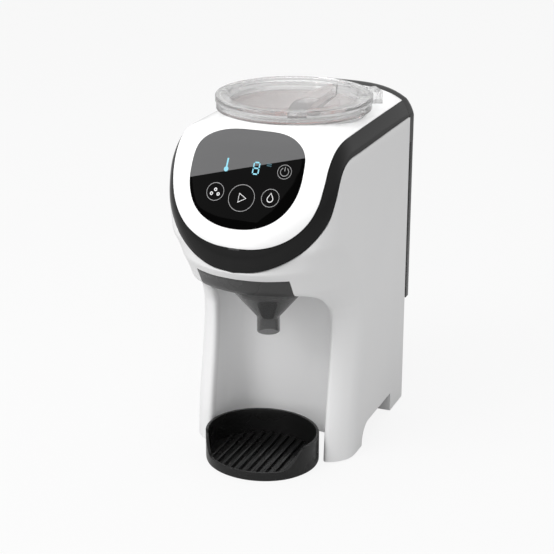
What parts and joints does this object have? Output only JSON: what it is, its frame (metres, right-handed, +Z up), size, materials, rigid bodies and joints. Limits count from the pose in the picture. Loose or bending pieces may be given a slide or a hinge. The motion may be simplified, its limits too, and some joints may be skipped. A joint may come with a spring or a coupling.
{
  "type": "baby formula maker",
  "caption": "Counter-top baby formula maker: powder hopper on top, touch panel, mixing funnel over a bottle bay with a drip tray, rear water tank.",
  "frame": {"origin": "on the table, under the middle of the machine's bounding box", "axes": "+Z up, front towards -Y, +X to the right as seen from the front"},
  "size_m": [0.16, 0.2602, 0.334],
  "materials": {
    "white_gloss": "gloss",
    "white_satin": "satin",
    "black_gloss": "gloss",
    "panel_glass": "black printed, gloss",
    "silver_plastic": "satin",
    "black_satin": "satin",
    "smoke_clear": "smoked transparent",
    "clear_plastic": "clear transparent",
    "coral_plastic": "satin",
    "natural_plastic": "satin",
    "soft_rubber": "matte",
    "pale_silicone": "matte",
    "bright_steel": "brushed",
    "warm_brass": "satin",
    "circuit_board": "lacquered"
  },
  "bodies": {
    "housing": {"main_shell": "white_gloss", "top_deck": "white_gloss", "trim_band": "black_gloss", "control_lens": "panel_glass", "display_module": "black_satin", "control_board": "circuit_board", "bay_liner": "silver_plastic", "base_plate": "white_satin", "foot_pad_front_left": "soft_rubber", "foot_pad_front_right": "soft_rubber", "foot_pad_rear_left": "soft_rubber", "foot_pad_rear_right": "soft_rubber", "base_screw_1": "bright_steel", "base_screw_2": "bright_steel", "base_screw_3": "bright_steel", "base_screw_4": "bright_steel", "chassis": "natural_plastic", "rear_cover": "white_satin", "power_inlet": "black_satin", "funnel_switch": "black_satin", "hopper_well": "white_gloss", "powder_chute": "silver_plastic", "drive_motor": "bright_steel", "tank_bay": "silver_plastic", "dock_valve": "black_satin", "water_pump": "black_satin", "flow_meter": "natural_plastic", "flow_heater": "bright_steel", "thermostat": "warm_brass", "suction_hose": "pale_silicone", "meter_hose": "pale_silicone", "heater_hose": "pale_silicone", "nozzle_hose": "pale_silicone", "water_nozzle": "natural_plastic", "power_board": "circuit_board", "wire_harness": "soft_rubber"},
    "tray": {"drip_tray": "black_satin"},
    "drawer": {"funnel_holder": "smoke_clear"},
    "funnel": {"funnel": "smoke_clear"},
    "canister": {"hopper": "clear_plastic", "scraper_plate": "clear_plastic"},
    "wheels": {"dosing_wheel": "coral_plastic", "stir_wheel": "coral_plastic", "wheel_spindle": "bright_steel"},
    "lid_ring": {"lid_seal": "pale_silicone"},
    "lid": {"hopper_lid": "clear_plastic"},
    "gear": {"drive_gear": "natural_plastic"},
    "pinion": {"motor_pinion": "natural_plastic"},
    "tank": {"water_tank": "smoke_clear", "valve_cage": "clear_plastic", "valve_seal": "soft_rubber", "valve_spring": "bright_steel"},
    "tank_cap": {"tank_lid": "black_gloss"},
    "valve": {"tank_valve": "black_satin"}
  },
  "joints": [
    {"name": "tray_slide", "type": "slide", "parent": "housing", "child": "tray", "axis": [0, -1, 0], "range_m": [0, 0.1]},
    {"name": "drawer_slide", "type": "slide", "parent": "housing", "child": "drawer", "axis": [0, -1, 0], "range_m": [0, 0.09]},
    {"name": "funnel_lift", "type": "slide", "parent": "drawer", "child": "funnel", "axis": [0, 0, 1], "range_m": [0, 0.01]},
    {"name": "canister_lift", "type": "slide", "parent": "housing", "child": "canister", "axis": [0, 0, 1], "range_m": [0, 0.08]},
    {"name": "wheel_turn", "type": "hinge", "parent": "canister", "child": "wheels", "pos_m": [0, 0.011, 0.26], "axis": [0, 0, 1], "continuous": true},
    {"name": "lid_lift", "type": "slide", "parent": "canister", "child": "lid_ring", "axis": [0, 0, 1], "range_m": [0, 0.04]},
    {"name": "lid_twist", "type": "hinge", "parent": "lid_ring", "child": "lid", "pos_m": [0, 0.011, 0.33], "axis": [0, 0, 1], "range_deg": [-30, 0]},
    {"name": "gear_turn", "type": "hinge", "parent": "housing", "child": "gear", "pos_m": [0, 0.011, 0.24], "axis": [0, 0, 1], "continuous": true},
    {"name": "pinion_turn", "type": "hinge", "parent": "housing", "child": "pinion", "pos_m": [0.01944, 0.0401, 0.24], "axis": [0, 0, 1], "continuous": true},
    {"name": "tank_out", "type": "slide", "parent": "housing", "child": "tank", "axis": [0, 0.7071, 0.7071], "range_m": [0, 0.06]},
    {"name": "tank_lid_lift", "type": "slide", "parent": "tank", "child": "tank_cap", "axis": [0, 0, 1], "range_m": [0, 0.04]},
    {"name": "valve_close", "type": "slide", "parent": "tank", "child": "valve", "axis": [0, 0, -1], "range_m": [0, 0.002], "deforming": ["valve_spring"]}
  ],
  "couplings": [
    {"joint": "gear_turn", "follows": "wheel_turn", "ratio": 1},
    {"joint": "pinion_turn", "follows": "wheel_turn", "ratio": -4},
    {"joint": "valve_close", "follows": "tank_out", "ratio": 0.033333}
  ]
}
